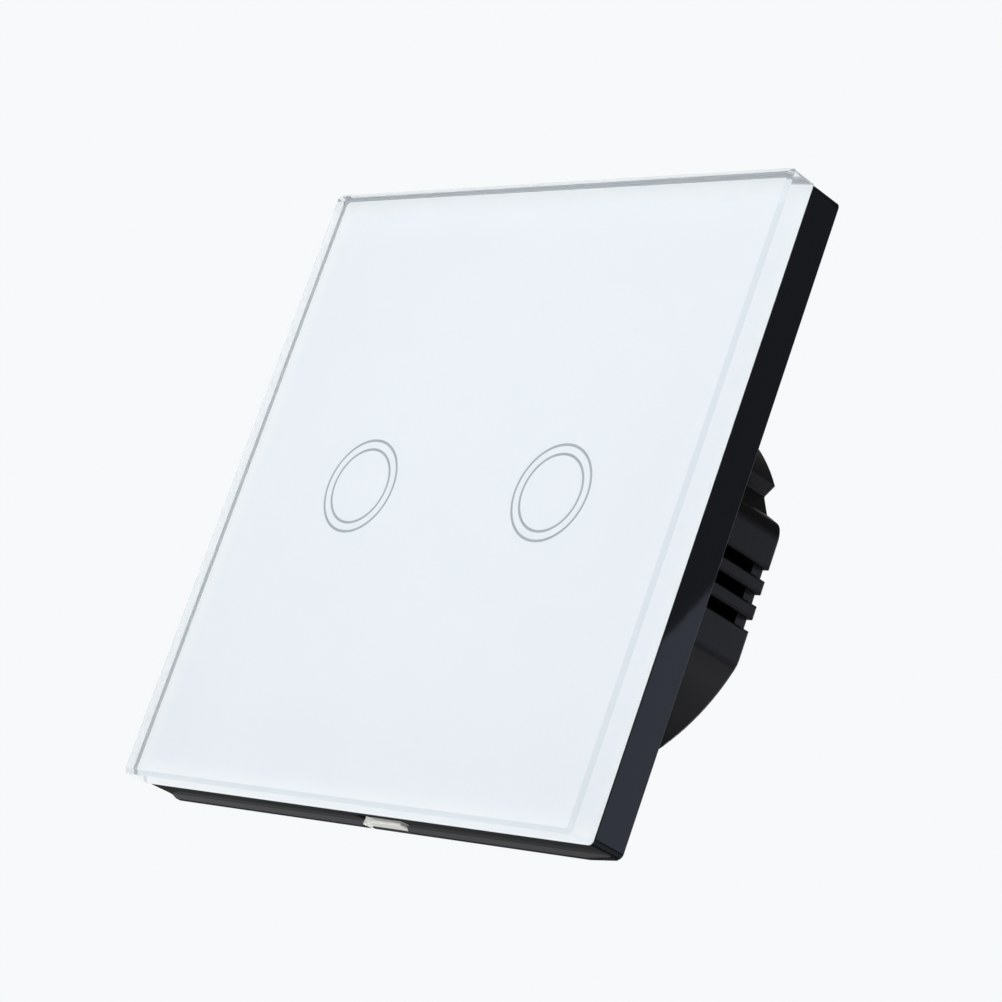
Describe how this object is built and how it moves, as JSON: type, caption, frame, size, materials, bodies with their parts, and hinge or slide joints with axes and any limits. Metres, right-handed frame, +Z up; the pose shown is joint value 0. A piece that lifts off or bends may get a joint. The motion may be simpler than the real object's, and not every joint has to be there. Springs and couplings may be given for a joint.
{
  "type": "touch light switch",
  "caption": "Square glass touch light switch with round key icons, black frame, steel yoke and a vented round rear housing for a wall box.",
  "frame": {"origin": "middle of the two wall screw slots, on the wall plane", "axes": "+X to the right and +Z up as seen from the room, +Y into the wall"},
  "size_m": [0.08, 0.0326, 0.0802],
  "materials": {
    "clear_glass": "polished float glass",
    "white_print": "screen-printed enamel",
    "icon_print": "screen-printed enamel",
    "adhesive_tape": "double-sided tape",
    "black_plastic": "moulded, fine spark texture",
    "white_plastic": "moulded",
    "grey_plastic": "moulded",
    "clear_plastic": "clear moulding",
    "zinc_steel": "zinc plated",
    "spring_steel": "drawn wire",
    "soft_iron": "nickel plated",
    "ferrite": "sintered",
    "brass": "stamped",
    "copper_winding": "enamelled wire under tape",
    "circuit_board": "solder mask",
    "capacitor_sleeve": "shrink sleeve",
    "ceramic_body": "matt ceramic with end caps",
    "blue_lacquer": "dipped lacquer"
  },
  "bodies": {
    "base": {"mounting_yoke": "zinc_steel", "module_cover": "black_plastic", "light_guide_left": "clear_plastic", "light_guide_right": "clear_plastic", "touch_spring_left": "spring_steel", "touch_spring_right": "spring_steel", "indicator_leds": "white_plastic", "touch_board": "circuit_board", "touch_chip": "black_plastic", "pin_header": "black_plastic", "power_board": "circuit_board", "back_housing": "black_plastic", "housing_screws": "zinc_steel", "terminal_block": "grey_plastic", "busbar_left": "brass", "busbar_middle": "brass", "busbar_right": "brass", "relay_base_lower": "grey_plastic", "relay_case_lower": "grey_plastic", "relay_coil_lower": "copper_winding", "relay_core_lower": "soft_iron", "relay_contact_lower": "brass", "relay_base_upper": "grey_plastic", "relay_case_upper": "grey_plastic", "relay_coil_upper": "copper_winding", "relay_core_upper": "soft_iron", "relay_contact_upper": "brass", "smoothing_capacitor": "capacitor_sleeve", "transformer_core": "ferrite", "transformer_winding": "copper_winding", "film_capacitor": "grey_plastic", "bridge_rectifier": "black_plastic", "line_fuse": "ceramic_body", "varistor": "blue_lacquer"},
    "panel": {"glass_panel": "clear_glass", "white_print": "white_print", "icon_rings_left": "icon_print", "icon_rings_right": "icon_print", "adhesive_tape": "adhesive_tape", "panel_frame": "black_plastic", "release_clip": "white_plastic"},
    "screw_left": {"terminal_screw_left": "zinc_steel"},
    "screw_middle": {"terminal_screw_middle": "zinc_steel"},
    "screw_right": {"terminal_screw_right": "zinc_steel"},
    "cage_left": {"terminal_cage_left": "zinc_steel"},
    "cage_middle": {"terminal_cage_middle": "zinc_steel"},
    "cage_right": {"terminal_cage_right": "zinc_steel"},
    "armature_lower": {"relay_armature_lower": "soft_iron"},
    "armature_upper": {"relay_armature_upper": "soft_iron"}
  },
  "joints": [
    {"name": "panel_pull_off", "type": "slide", "parent": "base", "child": "panel", "axis": [0, -1, 0], "range_m": [0, 0.03]},
    {"name": "screw_turn_left", "type": "hinge", "parent": "base", "child": "screw_left", "pos_m": [-0.008, 0.0185, -0.00885], "axis": [0, -1, 0], "range_deg": [0, 1080]},
    {"name": "screw_turn_middle", "type": "hinge", "parent": "base", "child": "screw_middle", "pos_m": [0, 0.0185, -0.00885], "axis": [0, -1, 0], "range_deg": [0, 1080]},
    {"name": "screw_turn_right", "type": "hinge", "parent": "base", "child": "screw_right", "pos_m": [0.008, 0.0185, -0.00885], "axis": [0, -1, 0], "range_deg": [0, 1080]},
    {"name": "cage_rise_left", "type": "slide", "parent": "base", "child": "cage_left", "axis": [0, 1, 0], "range_m": [0, 0.0015]},
    {"name": "cage_rise_middle", "type": "slide", "parent": "base", "child": "cage_middle", "axis": [0, 1, 0], "range_m": [0, 0.0015]},
    {"name": "cage_rise_right", "type": "slide", "parent": "base", "child": "cage_right", "axis": [0, 1, 0], "range_m": [0, 0.0015]},
    {"name": "armature_close_lower", "type": "hinge", "parent": "base", "child": "armature_lower", "pos_m": [0.00475, 0.01394, 0.0054], "axis": [0, 0, -1], "range_deg": [0, 3], "stiffness_Nm_per_rad": 0.004, "springref_deg": -1.72},
    {"name": "armature_close_upper", "type": "hinge", "parent": "base", "child": "armature_upper", "pos_m": [0.00475, 0.01394, 0.013], "axis": [0, 0, -1], "range_deg": [0, 3], "stiffness_Nm_per_rad": 0.004, "springref_deg": -1.72}
  ],
  "couplings": [
    {"joint": "screw_turn_left", "follows": "cage_rise_left", "rad_per_m": 12566},
    {"joint": "screw_turn_middle", "follows": "cage_rise_middle", "rad_per_m": 12566},
    {"joint": "screw_turn_right", "follows": "cage_rise_right", "rad_per_m": 12566}
  ]
}
